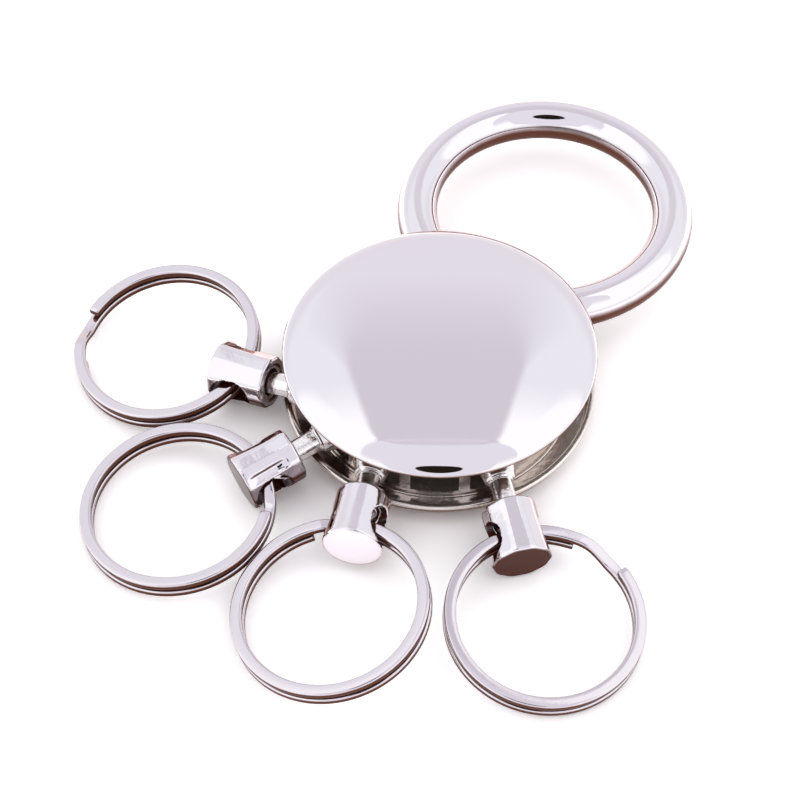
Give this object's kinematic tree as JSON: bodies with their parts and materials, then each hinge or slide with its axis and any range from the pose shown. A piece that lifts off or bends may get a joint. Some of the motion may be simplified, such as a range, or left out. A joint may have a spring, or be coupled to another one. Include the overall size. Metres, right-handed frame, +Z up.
{
  "type": "multi-ring key holder",
  "caption": "Round push-button key holder with a domed cap, a carrying loop and swivelling studs that each carry a split key ring.",
  "frame": {"origin": "centre of the round base on the plane that its foot stands on", "axes": "+Z up through the domed cap, +Y from the base towards the carrying loop, +X to the right seen from above with the loop at the back; the studs fan out on the -Y side"},
  "size_m": [0.0866, 0.0995, 0.0129],
  "materials": {
    "dish_metal": "bright nickel-chrome plating over a cast dish",
    "loop_metal": "mirror plating over a solid round bar",
    "cap_metal": "mirror plating on a pressed dome",
    "inner_metal": "plain pressed steel, hidden",
    "button_metal": "plated turned button",
    "screw_metal": "plain steel screw",
    "spring_metal": "spring wire, hidden",
    "stud_metal": "bright plating over a slightly rough casting",
    "barrel_metal": "bright plating over a slightly rough casting",
    "ring_metal": "bright plating over rolled flat wire"
  },
  "bodies": {
    "base": {"base_dish": "dish_metal", "big_ring": "loop_metal", "retaining_plate": "inner_metal", "return_spring": "spring_metal"},
    "cap": {"dome_cap": "cap_metal", "cap_backing_plate": "inner_metal", "centre_post": "inner_metal", "push_button": "button_metal", "button_screw": "screw_metal"},
    "pin_1": {"stud_pin_1": "stud_metal"},
    "barrel_1": {"swivel_barrel_1": "barrel_metal"},
    "ring_1": {"split_ring_1": "ring_metal"},
    "pin_2": {"stud_pin_2": "stud_metal"},
    "barrel_2": {"swivel_barrel_2": "barrel_metal"},
    "ring_2": {"split_ring_2": "ring_metal"},
    "pin_3": {"stud_pin_3": "stud_metal"},
    "barrel_3": {"swivel_barrel_3": "barrel_metal"},
    "ring_3": {"split_ring_3": "ring_metal"},
    "pin_4": {"stud_pin_4": "stud_metal"},
    "barrel_4": {"swivel_barrel_4": "barrel_metal"},
    "ring_4": {"split_ring_4": "ring_metal"}
  },
  "joints": [
    {"name": "cap_lift", "type": "slide", "parent": "base", "child": "cap", "axis": [0, 0, 1], "range_m": [0, 0.0024], "stiffness_N_per_m": 600, "springref_m": -0.003, "deforming": ["return_spring"]},
    {"name": "stud_yaw_1", "type": "hinge", "parent": "base", "child": "pin_1", "pos_m": [-0.01442, -0.01127, 0.00562], "axis": [0, 0, 1], "range_deg": [0, 4]},
    {"name": "barrel_swivel_1", "type": "hinge", "parent": "pin_1", "child": "barrel_1", "pos_m": [-0.01442, -0.01127, 0.00562], "axis": [-0.9853, -0.0689, -0.1564], "range_deg": [-150, 150]},
    {"name": "ring_swing_1", "type": "hinge", "parent": "barrel_1", "child": "ring_1", "pos_m": [-0.0226, -0.01184, 0.00432], "axis": [0.0188, 0.9924, 0.1214], "range_deg": [-105, 100]},
    {"name": "stud_yaw_2", "type": "hinge", "parent": "base", "child": "pin_2", "pos_m": [-0.00802, -0.01645, 0.00561], "axis": [0, 0, 1], "range_deg": [-4, 0]},
    {"name": "barrel_swivel_2", "type": "hinge", "parent": "pin_2", "child": "barrel_2", "pos_m": [-0.00802, -0.01645, 0.00561], "axis": [-0.5093, -0.8475, -0.1495], "range_deg": [-120, 90]},
    {"name": "ring_swing_2", "type": "hinge", "parent": "barrel_2", "child": "ring_2", "pos_m": [-0.01245, -0.02382, 0.00431], "axis": [0.7946, -0.6065, 0.026], "range_deg": [-90, 120]},
    {"name": "stud_yaw_3", "type": "hinge", "parent": "base", "child": "pin_3", "pos_m": [0, -0.0183, 0.00542], "axis": [0, 0, 1], "range_deg": [-1, 5]},
    {"name": "barrel_swivel_3", "type": "hinge", "parent": "pin_3", "child": "barrel_3", "pos_m": [0, -0.0183, 0.00542], "axis": [-0.3006, 0.9536, 0.0175], "range_deg": [-145, 120]},
    {"name": "ring_swing_3", "type": "hinge", "parent": "barrel_3", "child": "ring_3", "pos_m": [0.00249, -0.02621, 0.00528], "axis": [0.9634, 0.2117, 0.1643], "range_deg": [-100, 120]},
    {"name": "stud_yaw_4", "type": "hinge", "parent": "base", "child": "pin_4", "pos_m": [0.01442, -0.01127, 0.00558], "axis": [0, 0, 1], "range_deg": [-5, 42]},
    {"name": "barrel_swivel_4", "type": "hinge", "parent": "pin_4", "child": "barrel_4", "pos_m": [0.01442, -0.01127, 0.00558], "axis": [0.6505, -0.7482, -0.1305], "range_deg": [-150, 150]},
    {"name": "ring_swing_4", "type": "hinge", "parent": "barrel_4", "child": "ring_4", "pos_m": [0.02034, -0.01808, 0.0044], "axis": [-0.7026, -0.7107, 0.0346], "range_deg": [-120, 100]}
  ]
}
